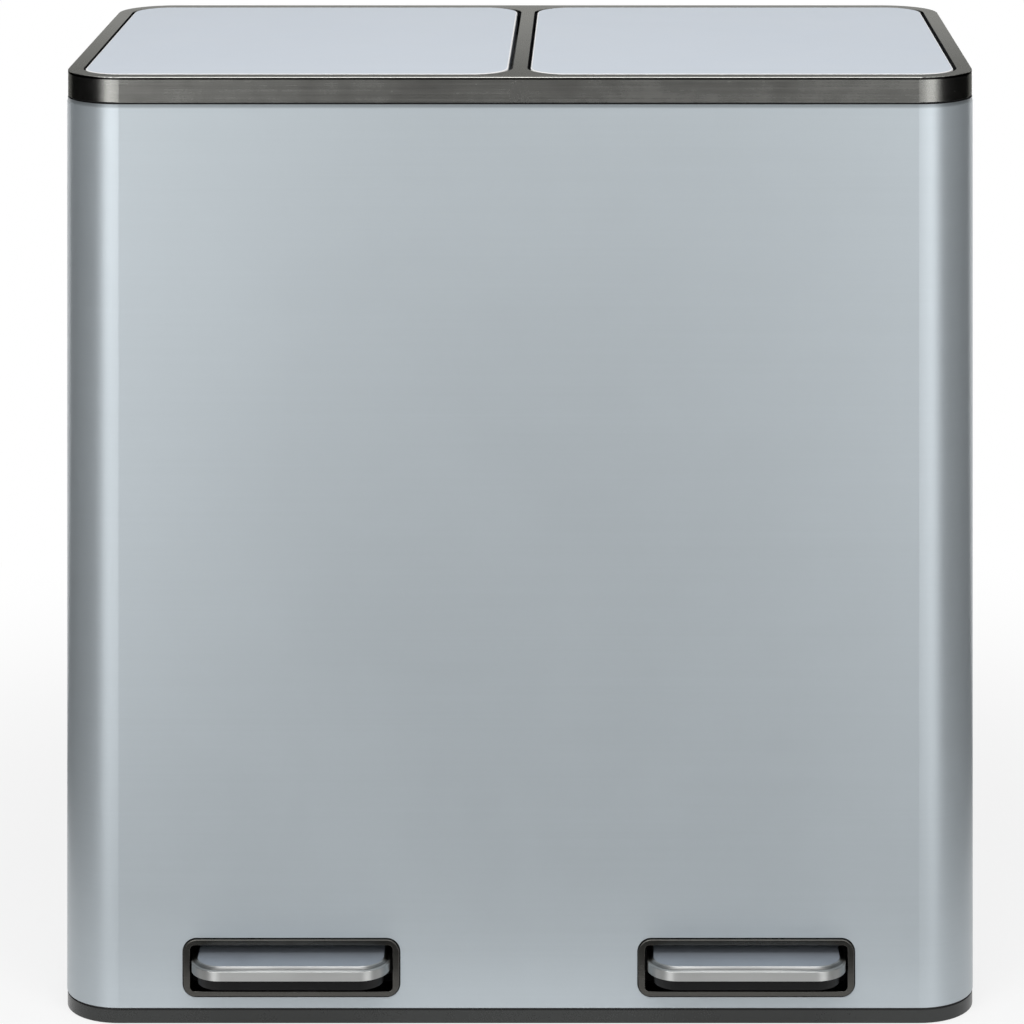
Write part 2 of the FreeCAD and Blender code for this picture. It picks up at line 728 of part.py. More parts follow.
def lid_crank(rod_x):
    """The steel bracket under the liner whose pin the push rod lifts."""
    pieces = []
    front = crank_pin_y - crank_flange_front
    rear = crank_pin_y + crank_boss_radius + crank_flange_rear
    for sign in (-1.0, 1.0):
        x_low, x_high = sorted((rod_x + sign * crank_inner, rod_x + sign * crank_outer))
        cheek = side_profile([(crank_pin_y - crank_boss_radius, crank_pin_z),
                              (crank_pin_y + crank_boss_radius, crank_pin_z),
                              (rear, lid_bottom), (front + crank_bridge, lid_bottom)], x_low, x_high)
        boss = rod_along_x(crank_boss_radius, x_low, x_high, crank_pin_y, crank_pin_z)
        hole = rod_along_x(crank_pin_radius, x_low - beyond, x_high + beyond, crank_pin_y, crank_pin_z)
        near, far = sorted((rod_x + sign * crank_inner, rod_x + sign * (crank_outer + crank_flange_width)))
        flange = block(near, far, front, rear, lid_bottom - crank_flange_thickness, lid_bottom)
        pieces.append(cheek.fuse([boss, flange]).cut(hole))
    bridge = block(rod_x - crank_outer, rod_x + crank_outer, front, front + crank_bridge,
                   lid_bottom - crank_flange_thickness, lid_bottom)
    return joined(pieces + [bridge])


def crank_pin(rod_x):
    """The pin across the crank's cheeks."""
    return rod_along_x(crank_pin_radius, rod_x - crank_outer, rod_x + crank_outer, crank_pin_y, crank_pin_z)


# ---------------------------------------------------------------- push rods


def push_rod(rod_x):
    """The rod from the lever's nose to the crank, with a pad below and a slotted eye above."""
    foot = upright_rod(rod_foot_radius, rod_bottom, rod_bottom + rod_foot_height, rod_x, rod_y)
    foot = foot.makeFillet(rod_foot_rounding, edges_at_height(foot, rod_bottom + rod_foot_height))
    stem = upright_rod(rod_radius, rod_bottom + lap, crank_pin_z - eye_height / 2.0 - lap, rod_x, rod_y)
    x_low = rod_x - eye_thickness / 2.0
    x_high = rod_x + eye_thickness / 2.0
    ring = oblong(eye_length + 2 * eye_wall, eye_height + 2 * eye_wall, x_low, x_high, rod_y, crank_pin_z)
    slot = oblong(eye_length, eye_height, x_low - beyond, x_high + beyond, rod_y, crank_pin_z)
    return joined([foot, stem, ring.cut(slot)])


def rod_guides(rod_x):
    """Two plastic blocks on the rear wall that the rod slides through."""
    guides = []
    for z in (lower_guide_z, upper_guide_z):
        body = block(rod_x - guide_width / 2, rod_x + guide_width / 2, rod_y - rod_radius - guide_reach,
                     rear_y - shell_wall, z - guide_height / 2, z + guide_height / 2)
        bore = upright_rod(rod_radius + guide_clearance, z - guide_height, z + guide_height, rod_x, rod_y)
        guides.append(body.cut(bore))
    return Part.makeCompound(guides)


# ---------------------------------------------------------------- pedals


def pedal_outline(inset, z, x):
    """The pedal's plan, made smaller by an inset: wide round corners in front, small ones behind."""
    front = pedal_front_y + inset
    rear = pedal_rear_y - inset
    return rounded_outline(pedal_width - 2 * inset, rear - front, pedal_rear_radius, x,
                           (front + rear) / 2.0, z, pedal_corner_radius - inset)


def pedal_slab(inset, z_low, z_high, x):
    """An upright slab on the pedal's plan, made smaller by an inset."""
    face = Part.Face(pedal_outline(inset, z_low, x))
    return face.extrude(Vector(0, 0, z_high - z_low))


def pedal_bezel(x):
    """The bright lip: an upright band, then a slope with a fine step in it, up to the tread."""
    band = pedal_slab(0.0, bezel_bottom, bezel_edge, x)
    band = band.makeFillet(bezel_rounding, edges_at_height(band, bezel_edge))
    step_top = bezel_step_rise + bezel_step_height
    profile = ((bezel_rounding, -lap), (bezel_rounding, 0.0), (bezel_step_inset, bezel_step_rise),
               (bezel_step_inset, step_top), (bezel_width - bezel_crest, bezel_rise))
    slope = Part.makeLoft([pedal_outline(inset, bezel_edge + rise, x) for inset, rise in profile], True, True)
    tread_hole = pedal_slab(bezel_width, tread_bottom, pedal_top + beyond, x)
    core_hole = pedal_slab(bezel_wall, bezel_bottom - beyond, tread_bottom, x)
    half = lever_tongue_width / 2.0 + snug_fit
    tongue_slot = block(x - half, x + half, pedal_rear_y - bezel_wall - beyond, pedal_rear_y + beyond,
                        bezel_bottom - beyond, lever_top + snug_fit)
    return joined([band, slope]).cut([tread_hole, core_hole, tongue_slot])


def pedal_plate(x):
    """The satin tread plate, set into the bezel."""
    plate = pedal_slab(bezel_width + snug_fit, tread_bottom, tread_top, x)
    return plate.makeFillet(plate_rounding, edges_at_height(plate, tread_top))


def pedal_core(x):
    """The black moulding under the tread, deep in front and shallow inside the recess."""
    upper = pedal_slab(bezel_wall + snug_fit, bezel_bottom, tread_bottom, x)
    lower = pedal_slab(core_inset, core_bottom_front, bezel_bottom, x)
    step_y = front_y - pedal_frame_proud - core_step_gap
    rise = core_bottom_rear - core_bottom_front
    low = core_bottom_front - beyond
    rear = pedal_rear_y + beyond
    below = [(step_y - rise, low), (step_y - rise, core_bottom_front), (step_y, core_bottom_rear),
             (rear, core_bottom_rear), (rear, low)]
    under = side_profile(below, x - pedal_width, x + pedal_width)
    half = lever_tongue_width / 2.0 + snug_fit
    tongue_slot = block(x - half, x + half, pedal_rear_y - lever_tongue_length - snug_fit, rear,
                        lever_web_bottom, lever_top + snug_fit)
    return joined([lower, upper]).cut([under, tongue_slot])


def pedal_lever(x):
    """The pressed steel channel from the tread, over its axle, to the push rod."""
    front = pedal_rear_y - lever_tongue_length
    rear = rod_y + lever_tip_margin
    wide = lever_tongue_width / 2.0
    narrow = lever_width / 2.0
    neck = well_rear_y + lever_neck_setback
    outline = [(x - wide, front), (x + wide, front), (x + wide, pedal_rear_y), (x + narrow, neck),
               (x + narrow, rear), (x - narrow, rear), (x - narrow, neck), (x - wide, pedal_rear_y)]
    corners = [Vector(px, py, lever_web_bottom) for px, py in outline]
    web = Part.Face(Part.makePolygon(corners + [corners[0]])).extrude(Vector(0, 0, lever_sheet))
    pieces = [web]
    flange_top = lever_web_bottom + lap
    lip_z = lever_web_bottom - lever_lip
    flange = [(neck, flange_top), (neck, lip_z), (neck + lever_front_slope, lever_flange_bottom),
              (rear - lever_rear_slope, lever_flange_bottom), (rear, lip_z), (rear, flange_top)]
    for side in (-1.0, 1.0):
        x_low, x_high = sorted((x + side * narrow, x + side * (narrow - lever_sheet)))
        pieces.append(side_profile(flange, x_low, x_high))
    nose_z = lever_top - lever_nose_radius
    nose = rod_along_x(lever_nose_radius, x - narrow, x + narrow, rod_y, nose_z)
    lever = joined(pieces)
    top_strip = block(x - wide, x + wide, rod_y - 4.0 * lever_nose_radius, rear + beyond,
                      lever_top - lever_seat_depth, lever_top + beyond)
    axle_hole = rod_along_x(axle_radius, x - wide, x + wide, lever_pivot_y, lever_pivot_z)
    lever = lever.cut([top_strip, axle_hole])
    return joined([lever, nose])


def pedal_axle(x):
    """The axle, fixed in the lever and free in its bearings."""
    half = lever_width / 2.0 + axle_overhang
    axle = rod_along_x(axle_radius, x - half, x + half, lever_pivot_y, lever_pivot_z)
    ends = [edge for edge in axle.Edges if edge.BoundBox.XLength < 1e-3]
    return axle.makeChamfer(axle_chamfer, ends)


def pedal_bearings(x):
    """Two bearing blocks that stand on the base's floor."""
    blocks = []
    for side in (-1.0, 1.0):
        near = lever_width / 2.0 + bearing_gap
        x_low, x_high = sorted((x + side * near, x + side * (near + bearing_width)))
        body = block(x_low, x_high, lever_pivot_y - bearing_depth / 2, lever_pivot_y + bearing_depth / 2,
                     floor_top, lever_pivot_z + axle_radius + bearing_cap)
        bore = rod_along_x(axle_radius + running_clearance, x_low - beyond, x_high + beyond,
                           lever_pivot_y, lever_pivot_z)
        blocks.append(body.cut(bore))
    return Part.makeCompound(blocks)


def pedal_frame(x):
    """The dark surround: a flange in the body's cut-out and a collar behind it."""
    face_y = front_y - pedal_frame_proud
    flange = upright_slab(pedal_frame_width, pedal_frame_height, pedal_frame_radius,
                          face_y, well_front_y, x, frame_mid_z)
    collar = upright_slab(collar_width, collar_height, collar_radius, front_y - lap, collar_rear_y,
                          x, opening_mid_z)
    opening = upright_slab(pedal_opening_width, pedal_opening_height, pedal_opening_radius,
                           face_y - beyond, collar_rear_y + beyond, x, opening_mid_z)
    frame = joined([flange, collar]).cut(opening)
    face_edges = [edge for edge in frame.Edges if edge.BoundBox.YMax < face_y + 1e-3]
    return frame.makeFillet(pedal_frame_edge, face_edges)


def pedal_well(x):
    """The black pocket behind the surround: its flange shows round it, its rear lets the lever out."""
    flange = upright_slab(flange_width, flange_height, cutout_radius + well_flange_lap, well_front_y,
                          well_front_y + well_flange, x, frame_mid_z)
    pocket = upright_slab(collar_width + 2 * well_wall, collar_height + 2 * well_wall,
                         collar_radius + well_wall, well_front_y, well_rear_y, x, opening_mid_z)
    mouth = upright_slab(collar_width + 2 * snug_fit, collar_height + 2 * snug_fit, collar_radius,
                         well_front_y - beyond, collar_rear_y + snug_fit, x, opening_mid_z)
    room = upright_slab(pedal_opening_width, pedal_opening_height, pedal_opening_radius,
                        collar_rear_y, well_rear_y - well_wall, x, opening_mid_z)
    slot = block(x - well_slot_width / 2, x + well_slot_width / 2, well_rear_y - well_wall - beyond,
                 well_rear_y + beyond, well_slot_bottom, well_slot_top)
    return joined([flange, pocket]).cut([mouth, room, slot])


# ---------------------------------------------------------------- buckets


def bucket_sides(x, inset, z_low, z_high):
    """The tapering form of a bucket, made smaller by an inset, between two heights."""
    corner = bucket_flange_radius - bucket_flange_overhang - inset
    slope = bucket_taper / (plate_top - bucket_bottom_z)
    outlines = []
    for z in (z_low, z_high):
        narrowing = 2.0 * (inset + slope * (plate_top - z))
        outlines.append(rounded_outline(bucket_top_width - narrowing, bucket_top_depth - narrowing,
                                        corner, x, bucket_y, z))
    return Part.makeLoft(outlines, True, True)


def bucket(x):
    """A tapered plastic bucket that hangs by its flange, with two lugs for its handle."""
    outside = bucket_sides(x, 0.0, bucket_bottom_z, plate_top)
    flange = rounded_slab(bucket_flange_width, bucket_flange_depth, bucket_flange_radius,
                          plate_top, bucket_top, x, bucket_y)
    flange = flange.makeFillet(bucket_rounding, edges_at_height(flange, bucket_top))
    hollow = bucket_sides(x, bucket_wall, bucket_bottom_z + bucket_wall, bucket_top + beyond)
    lugs = []
    near = bucket_flange_width / 2.0 - handle_inset - handle_wire_radius - handle_lug_gap
    for side in (-1.0, 1.0):
        x_low, x_high = sorted((x + side * near, x + side * (near - handle_lug_thickness)))
        lug = block(x_low, x_high, bucket_y - handle_lug_width / 2, bucket_y + handle_lug_width / 2,
                    bucket_top - lap, bucket_top + handle_lug_height)
        lugs.append(lug.cut(rod_along_x(handle_wire_radius + handle_lug_clearance, x_low - beyond,
                                        x_high + beyond, bucket_y, handle_height())))
    return joined([joined([outside, flange]).cut(hollow)] + lugs)


def handle_height():
    """The height of the folded wire's middle line."""
    return bucket_top + handle_lift + handle_wire_radius


def bucket_handle(x):
    """The wire handle, folded forward onto the flange, its ends hooked through the lugs."""
    z = handle_height()
    half = bucket_flange_width / 2.0 - handle_inset
    front = bucket_y - bucket_flange_depth / 2.0 + handle_inset
    corner = handle_corner_radius
    hook = handle_end_radius
    arcs = [quarter_arc(x - half + hook, bucket_y - hook, hook, 1, z),
            quarter_arc(x - half + corner, front + corner, corner, 2, z),
            quarter_arc(x + half - corner, front + corner, corner, 3, z),
            quarter_arc(x + half - hook, bucket_y - hook, hook, 0, z)]
    start = Vector(x - half + handle_end_length, bucket_y, z)
    end = Vector(x + half - handle_end_length, bucket_y, z)
    edges = [Part.makeLine(start, arcs[0].Vertexes[0].Point)]
    for before, after in zip(arcs, arcs[1:]):
        edges += [before, line_between(before, after)]
    edges += [arcs[-1], Part.makeLine(arcs[-1].Vertexes[-1].Point, end)]
    section = Part.Wire([Part.makeCircle(handle_wire_radius, start, Vector(-1, 0, 0))])
    return Part.Wire(edges).makePipeShell([section], True, False)


# ---------------------------------------------------------------- the whole bin


def all_pieces():
    """Every node of the bin, by name."""
    pieces = {
        "outer_shell": outer_shell(),
        "base_tray": base_tray(),
        "base_feet": base_feet(),
        "shell_screws": shell_screws(),
        "top_rim": top_rim(),
        "lid_frame": lid_frame(),
    }
    for name, sign in SIDES:
        lid_x = lid_middle[name]
        rod_x = sign * pedal_x
        bucket_x = sign * opening_x
        pieces[name + "_lid_skin"] = lid_skin(lid_x)
        pieces[name + "_lid_liner"] = lid_liner(lid_x, rod_x)
        pieces[name + "_lid_bumpers"] = lid_bumpers(lid_x)
        pieces[name + "_hinge_pins"] = hinge_pins(lid_x)
        pieces[name + "_lid_crank"] = lid_crank(rod_x)
        pieces[name + "_crank_pin"] = crank_pin(rod_x)
        pieces[name + "_push_rod"] = push_rod(rod_x)
        pieces[name + "_rod_guides"] = rod_guides(rod_x)
        pieces[name + "_pedal_bezel"] = pedal_bezel(rod_x)
        pieces[name + "_pedal_plate"] = pedal_plate(rod_x)
        pieces[name + "_pedal_core"] = pedal_core(rod_x)
        pieces[name + "_pedal_lever"] = pedal_lever(rod_x)
        pieces[name + "_pedal_axle"] = pedal_axle(rod_x)
        pieces[name + "_pedal_bearings"] = pedal_bearings(rod_x)
        pieces[name + "_pedal_frame"] = pedal_frame(rod_x)
        pieces[name + "_pedal_well"] = pedal_well(rod_x)
        pieces[name + "_bucket"] = bucket(bucket_x)
        pieces[name + "_bucket_handle"] = bucket_handle(bucket_x)
    return pieces


os.makedirs("parts", exist_ok=True)
for node, shape in all_pieces().items():
    shape.translate(Vector(0, origin_shift, 0))
    count = len(shape.Solids)
    print(f"{node:24s} solids {count}  valid {shape.isValid()}  volume {shape.Volume / 1000.0:9.2f} cm3")
    shape.exportStep("parts/" + node + ".step")
print(f"crank radius {crank_radius:.3f}  rod y {rod_y:.3f}  rod travel {rod_travel:.3f}")
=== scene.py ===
"""Finishes for a two-compartment pedal bin, with a plain studio round it."""

import math

import bmesh
import bpy
from mathutils import Matrix, Vector

bl_info = {
    "name": "Recycling Bin Finishes",
    "version": (1, 0, 0),
    "blender": (4, 5, 0),
    "location": "3D View > Sidebar > Recycling Bin",
    "description": "Gives a pedal bin its paint, metal and moulded finishes, and lights it in a plain studio",
    "category": "Material",
}

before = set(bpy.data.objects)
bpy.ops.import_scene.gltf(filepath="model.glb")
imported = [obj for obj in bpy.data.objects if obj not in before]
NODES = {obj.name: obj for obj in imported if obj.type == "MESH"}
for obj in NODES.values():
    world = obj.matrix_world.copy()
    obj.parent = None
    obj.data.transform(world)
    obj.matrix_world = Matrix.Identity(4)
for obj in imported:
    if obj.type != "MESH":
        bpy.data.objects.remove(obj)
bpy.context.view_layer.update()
SIDES = ("left", "right")

# Heights over the floor, bottom and top, in metres
# BASE_SEAM: painted shade in the gap between the base band and the body
BASE_SEAM = (0.0084, 0.0103)
# SURROUND_FOOT: painted shade along the bottom edge of the pedal surrounds
SURROUND_FOOT = (0.0174, 0.0184)
# LIP_SLOPE: painted shade on the slope of the pedal lips beside the treads
LIP_SLOPE = (0.0435, 0.0450)
# BODY_HEM: painted shade on the body's top strip, just under the rim
BODY_HEM = (0.5873, 0.5920)
# RIM_FOOT: painted highlight along the foot of the rim's band
RIM_FOOT = (0.5908, 0.5919)
# RIM_GROOVE: painted shade in the groove under the rim's crest
RIM_GROOVE = (0.6060, 0.6074)
# RIM_CREST: painted highlight along the rim's rounded top edge
RIM_CREST = (0.6074, 0.60797)
# RIM_TOP: the rim's top, where a painted light grows towards the rear
RIM_TOP = (0.6079, 0.6090)
# LID_EDGE: painted highlight along the lids' rounded front edge
LID_EDGE = (0.6067, 0.60799)

# Places on the rim from the middle of the bin, in metres
SIDE_STRIP_X = 0.2795
DIVIDER_X = 0.0065
# the span, from front to rear, over which the painted light on the rim's top grows
REAR_LIGHT_Y = (-0.14, 0.12)


def screen_colour(red, green, blue):
    """The scene-linear value of a colour given as it looks on a screen, 0 to 255."""
    linear = []
    for channel in (red, green, blue):
        share = channel / 255.0
        if share <= 0.04045:
            linear.append(share / 12.92)
        else:
            linear.append(((share + 0.055) / 1.055) ** 2.4)
    return tuple(linear)


# ---------------------------------------------------------------- settings


def colour_setting(name, description, default):
    """A colour that a user can pick."""
    return bpy.props.FloatVectorProperty(name=name, description=description, subtype="COLOR",
                                         size=3, min=0.0, max=1.0, default=default)


def share_setting(name, description, default):
    """An amount from none to full."""
    return bpy.props.FloatProperty(name=name, description=description, subtype="FACTOR",
                                   min=0.0, max=1.0, default=default)


def length_setting(name, description, default):
    """A length in metres."""
    return bpy.props.FloatProperty(name=name, description=description, subtype="DISTANCE",
                                   unit="LENGTH", default=default)


def power_setting(name, description, default):
    """A lamp's power in watts."""
    return bpy.props.FloatProperty(name=name, description=description, subtype="POWER",
                                   unit="POWER", min=0.0, default=default)


def angle_setting(name, description, degrees):
    """An angle, shown in degrees."""
    return bpy.props.FloatProperty(name=name, description=description, subtype="ANGLE",
                                   unit="ROTATION", default=math.radians(degrees))


class BinColours(bpy.types.PropertyGroup):
    """The colours of the bin's materials."""

    body: colour_setting("Body", "Satin metallic paint on the body", screen_colour(178, 186, 191))
    lids: colour_setting("Lids", "Satin metallic paint on the lids", screen_colour(198, 208, 220))
    rim: colour_setting("Rim", "Dark brushed metal of the rim", screen_colour(117, 117, 114))
    surround: colour_setting("Surrounds", "Dark brushed metal round the pedals", screen_colour(82, 81, 78))
    base: colour_setting("Base", "Dark grey plastic of the base", screen_colour(37, 39, 38))
    inside: colour_setting("Inside", "Black plastic of the lid frame, the wells and the guides",
                           screen_colour(24, 24, 26))
    liner: colour_setting("Liners", "Dark grey plastic under the lids", screen_colour(74, 77, 80))
    bucket: colour_setting("Buckets", "Grey plastic of the buckets", screen_colour(120, 123, 126))
    core: colour_setting("Pedal cores", "Black plastic under the treads", screen_colour(10, 10, 11))
    bright: colour_setting("Bright metal", "Polished lip of the pedals", screen_colour(176, 177, 176))
    tread: colour_setting("Tread", "Satin steel of the treads", screen_colour(158, 166, 176))
    plated: colour_setting("Plated steel", "Zinc-plated levers, rods, pins and screws",
                           screen_colour(186, 187, 186))
    rubber: colour_setting("Rubber", "Rubber of the feet and the lid strips", screen_colour(34, 34, 34))


class BinWear(bpy.types.PropertyGroup):
    """How strongly the finishes show their texture and their use."""

    brushing: share_setting("Brushing", "Depth of the brush lines in the metal", 0.30)
    grain: share_setting("Grain", "Depth of the grain in the moulded plastic", 0.35)
    smudges: share_setting("Smudges", "Change of gloss where hands and feet touch", 0.25)
    rubbing: share_setting("Rubbed edges", "Lightening of the edges", 0.30)
    dust: share_setting("Dust", "Dust on faces that look up", 0.10)


class BinStudio(bpy.types.PropertyGroup):
    """The camera, the lamps and the floor."""

    camera_x: length_setting("Camera across", "The camera's place across the bin", 0.055)
    camera_y: length_setting("Camera back", "The camera's place in front of the bin", -2.5806)
    camera_z: length_setting("Camera height", "The camera's height over the floor", 0.9936)
    floor_radius: length_setting("Floor radius", "Radius of the pale floor", 9.0)
    overhead_power: power_setting("Overhead lamp", "Power of the large lamp above and in front", 19.0)
    left_power: power_setting("Left lamp", "Power of the tall lamp at the left front corner", 14.4)
    right_power: power_setting("Right lamp", "Power of the tall lamp at the right front corner", 12.6)
    rear_power: power_setting("Rear lamp", "Power of the low lamp behind the bin", 9.0)
    room_light: share_setting("Room light", "Light that the white room throws on the bin", 0.22)
    left_screen: angle_setting("Left screen", "Where the black screen on the left begins, from the front",
                               48.0)
    right_screen: angle_setting("Right screen", "Where the black screen on the right begins, from the front",
                                50.0)


# ---------------------------------------------------------------- node trees


class Graph:
    """One node tree, with short ways to add nodes and to join them."""

    def __init__(self, tree):
        self.tree = tree

    def feed(self, socket, value):
        """Join a socket to another one, or set its plain value."""
        if isinstance(value, bpy.types.NodeSocket):
            self.tree.links.new(value, socket)
        else:
            socket.default_value = value

    def node(self, kind, values=None, **settings):
        """A node with its settings, and its sockets fed by name or number."""
        made = self.tree.nodes.new(kind)
        for name, value in settings.items():
            setattr(made, name, value)
        for key, value in (values or {}).items():
            self.feed(made.inputs[key], value)
        return made

    def calculate(self, operation, *values):
        """One step of arithmetic on numbers."""
        made = self.tree.nodes.new("ShaderNodeMath")
        made.operation = operation
        for socket, value in zip(made.inputs, values):
            self.feed(socket, value)
        return made.outputs[0]

    def spread(self, value, low, high):
        """A mask from 0 to 1 turned into a value between two ends."""
        made = self.node("ShaderNodeMapRange", {"Value": value, "To Min": low, "To Max": high})
        return made.outputs["Result"]

    def blend(self, share, first, second):
        """A colour between two others."""
        made = self.node("ShaderNodeMix", {0: share, 6: first, 7: second}, data_type="RGBA")
        return made.outputs[2]

    def places(self):
        """The position on the bin, in metres, as it stands closed."""
        return self.node("ShaderNodeTexCoord").outputs["Object"]


def new_group(name, inputs, outputs):
    """An empty shader group with named sockets; each input has its default."""
    tree = bpy.data.node_groups.new(name, "ShaderNodeTree")
    for label, kind, default in inputs:
        socket = tree.interface.new_socket(name=label, in_out="INPUT", socket_type="NodeSocket" + kind)
        socket.default_value = default
    for label in outputs:
        tree.interface.new_socket(name=label, in_out="OUTPUT", socket_type="NodeSocketFloat")
    graph = Graph(tree)
    source = graph.node("NodeGroupInput").outputs
    sink = graph.node("NodeGroupOutput").inputs
    return graph, source, sink


def brush_lines_group():
    """Fine lines left by brushing: short across, long along, in an uneven density."""
    inputs = [("Stretch", "Vector", (6.0, 6.0, 900.0)), ("Unevenness", "Float", 0.5)]
    graph, source, sink = new_group("Brush lines", inputs, ["Lines"])
    stretched = graph.node("ShaderNodeMapping", {"Vector": graph.places(), "Scale": source["Stretch"]})
    fine = graph.node("ShaderNodeTexNoise", {"Vector": stretched.outputs[0], "Scale": 1.0,
                                             "Detail": 4.0, "Roughness": 0.75})
    broad = graph.node("ShaderNodeTexNoise", {"Vector": graph.places(), "Scale": 9.0, "Detail": 2.0})
    uneven = graph.calculate("MULTIPLY", broad.outputs["Fac"], source["Unevenness"])
    centred = graph.calculate("SUBTRACT", fine.outputs["Fac"], 0.5)
    strength = graph.calculate("ADD", uneven, 0.75)
    scaled = graph.calculate("MULTIPLY", centred, strength)
    graph.feed(sink["Lines"], graph.calculate("ADD", scaled, 0.5))
    return graph.tree


def moulded_grain_group():
    """The fine spark-eroded texture of moulded plastic."""
    inputs = [("Scale", "Float", 1400.0)]
    graph, source, sink = new_group("Moulded grain", inputs, ["Grain"])
    cells = graph.node("ShaderNodeTexVoronoi", {"Vector": graph.places(), "Scale": source["Scale"]},
                       feature="SMOOTH_F1")
    noise = graph.node("ShaderNodeTexNoise", {"Vector": graph.places(), "Scale": source["Scale"],
                                              "Detail": 3.0})
    mixed = graph.calculate("MULTIPLY_ADD", cells.outputs["Distance"], 0.6, noise.outputs["Fac"])
    graph.feed(sink["Grain"], graph.calculate("MULTIPLY", mixed, 0.6))
    return graph.tree


def smudges_group():
    """Soft clouds and fine wipes where a surface is touched and cleaned."""
    inputs = [("Scale", "Float", 7.0), ("Amount", "Float", 0.3)]
    graph, source, sink = new_group("Smudges", inputs, ["Smudge"])
    clouds = graph.node("ShaderNodeTexNoise", {"Vector": graph.places(), "Scale": source["Scale"],
                                               "Detail": 5.0, "Roughness": 0.6, "Distortion": 0.8})
    wipes = graph.node("ShaderNodeTexNoise", {"Vector": graph.places(), "Scale": 60.0, "Detail": 3.0})
    both = graph.calculate("MULTIPLY_ADD", wipes.outputs["Fac"], 0.35, clouds.outputs["Fac"])
    centred = graph.calculate("SUBTRACT", both, 0.67)
    graph.feed(sink["Smudge"], graph.calculate("MULTIPLY", centred, source["Amount"]))
    return graph.tree


def rubbed_edges_group():
    """A mask for edges that hands and cloths have rubbed, broken up by noise."""
    inputs = [("Width", "Float", 0.0012), ("Amount", "Float", 0.3)]
    graph, source, sink = new_group("Rubbed edges", inputs, ["Edge"])
    rounded = graph.node("ShaderNodeBevel", {"Radius": source["Width"]}, samples=4)
    facing = graph.node("ShaderNodeNewGeometry").outputs["Normal"]
    agreement = graph.node("ShaderNodeVectorMath", {0: rounded.outputs[0], 1: facing},
                           operation="DOT_PRODUCT")
    bend = graph.calculate("SUBTRACT", 1.0, agreement.outputs["Value"])
    mask = graph.calculate("MULTIPLY", bend, 5.0)
    noise = graph.node("ShaderNodeTexNoise", {"Vector": graph.places(), "Scale": 160.0, "Detail": 3.0})
    broken = graph.calculate("MULTIPLY", mask, noise.outputs["Fac"])
    amount = graph.calculate("MULTIPLY", broken, source["Amount"])
    graph.feed(sink["Edge"], graph.node("ShaderNodeClamp", {"Value": amount}).outputs[0])
    return graph.tree


def settled_dust_group():
    """A thin, patchy mask on faces that look up."""
    inputs = [("Amount", "Float", 0.1)]
    graph, source, sink = new_group("Settled dust", inputs, ["Dust"])
    normal = graph.node("ShaderNodeNewGeometry").outputs["Normal"]
    upward = graph.node("ShaderNodeSeparateXYZ", {0: normal}).outputs["Z"]
    noise = graph.node("ShaderNodeTexNoise", {"Vector": graph.places(), "Scale": 40.0, "Detail": 6.0})
    patchy = graph.calculate("MULTIPLY", upward, noise.outputs["Fac"])
    amount = graph.calculate("MULTIPLY", patchy, source["Amount"])
    graph.feed(sink["Dust"], graph.node("ShaderNodeClamp", {"Value": amount}).outputs[0])
    return graph.tree


def height_band_group():
    """A mask for a strip between two heights, with soft edges."""
    inputs = [("Bottom", "Float", 0.0), ("Top", "Float", 0.01), ("Softness", "Float", 0.0003)]
    graph, source, sink = new_group("Height band", inputs, ["Band"])
    height = graph.node("ShaderNodeSeparateXYZ", {0: graph.places()}).outputs["Z"]
    over_bottom = graph.calculate("SUBTRACT", height, source["Bottom"])
    under_top = graph.calculate("SUBTRACT", source["Top"], height)
    nearest = graph.calculate("MINIMUM", over_bottom, under_top)
    share = graph.calculate("DIVIDE", nearest, source["Softness"])
    graph.feed(sink["Band"], graph.node("ShaderNodeClamp", {"Value": share}).outputs[0])
    return graph.tree


GROUP_MAKERS = {
    "Brush lines": brush_lines_group,
    "Moulded grain": moulded_grain_group,
    "Smudges": smudges_group,
    "Rubbed edges": rubbed_edges_group,
    "Settled dust": settled_dust_group,
    "Height band": height_band_group,
}


def effect(graph, name, output, **values):
    """Place a shared effect in a material, with its own values, and give the socket asked for."""
    tree = bpy.data.node_groups.get(name) or GROUP_MAKERS[name]()
    made = graph.node("ShaderNodeGroup", node_tree=tree)
    for label, value in values.items():
        made.inputs[label].default_value = value
    return made.outputs[output]


def strip_at(graph, heights, softness=0.0002):
    """The mask of a strip round the bin between two heights."""
    bottom, top = heights
    return effect(graph, "Height band", "Band", Bottom=bottom, Top=top, Softness=softness)


def new_material(name):
    """A material with a Principled shader and nothing else yet."""
    material = bpy.data.materials.new(name)
    material.use_nodes = True
    graph = Graph(material.node_tree)
    shader = material.node_tree.nodes["Principled BSDF"]
    return material, graph, shader


def bumped(graph, height, strength, distance):
    """The normal of a surface with a fine relief."""
    made = graph.node("ShaderNodeBump", {"Height": height, "Strength": strength, "Distance": distance})
    return made.outputs["Normal"]


def opaque(colour):
    """A colour with its alpha."""
    return (*colour, 1.0)


def toned(colour, share):
    """A colour made darker, below 1, or lighter, above it."""
    return tuple(min(1.0, channel * share) for channel in colour)


# ---------------------------------------------------------------- materials


